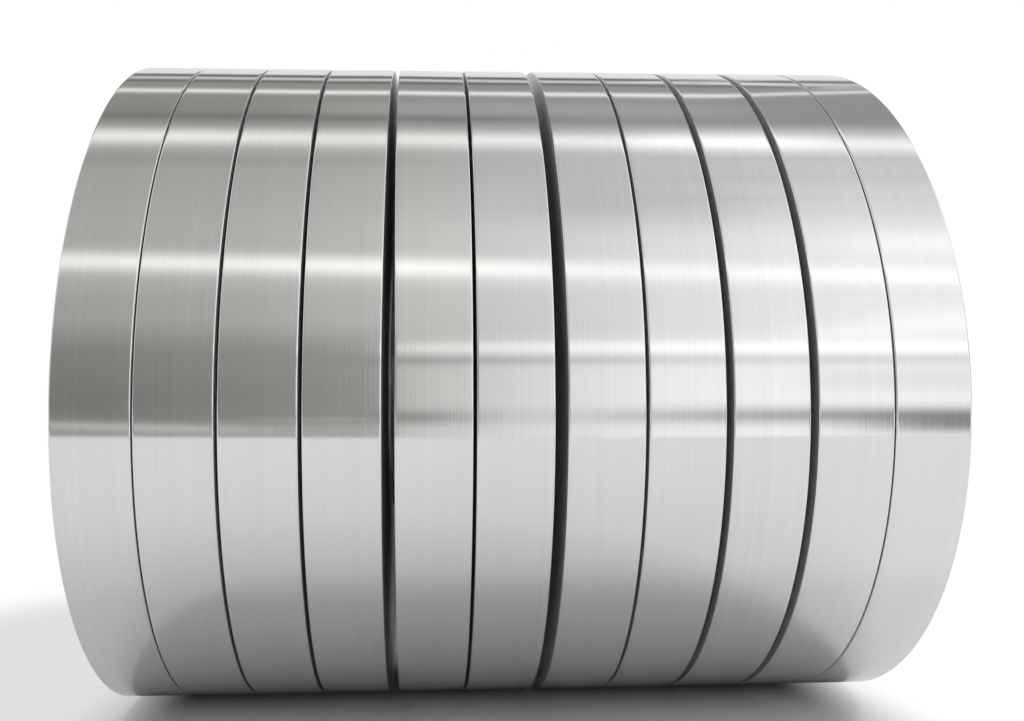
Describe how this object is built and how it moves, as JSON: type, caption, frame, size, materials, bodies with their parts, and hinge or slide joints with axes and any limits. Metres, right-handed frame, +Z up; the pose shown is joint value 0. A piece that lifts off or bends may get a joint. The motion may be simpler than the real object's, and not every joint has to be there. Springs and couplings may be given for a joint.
{
  "type": "slit coil of aluminium strip",
  "caption": "Set of narrow bright aluminium strip coils, slit from one wide coil, standing side by side on their rims with level eyes in line for a mandrel.",
  "frame": {"origin": "on the floor, below the middle of the set", "axes": "+X along the coils' common axis from the left coil to the right one, +Y away from the front, +Z up"},
  "size_m": [1.2318, 1.1291, 1.1298],
  "materials": {
    "strip": "bright rolled mill finish with fine lines along the strip; slit edges satin grey"
  },
  "bodies": {
    "root": {"strip_coil_01": "strip", "strip_coil_02": "strip", "strip_coil_03": "strip", "strip_coil_04": "strip", "strip_coil_05": "strip", "strip_coil_06": "strip", "strip_coil_07": "strip", "strip_coil_08": "strip", "strip_coil_09": "strip", "strip_coil_10": "strip", "strip_coil_11": "strip"}
  },
  "joints": []
}
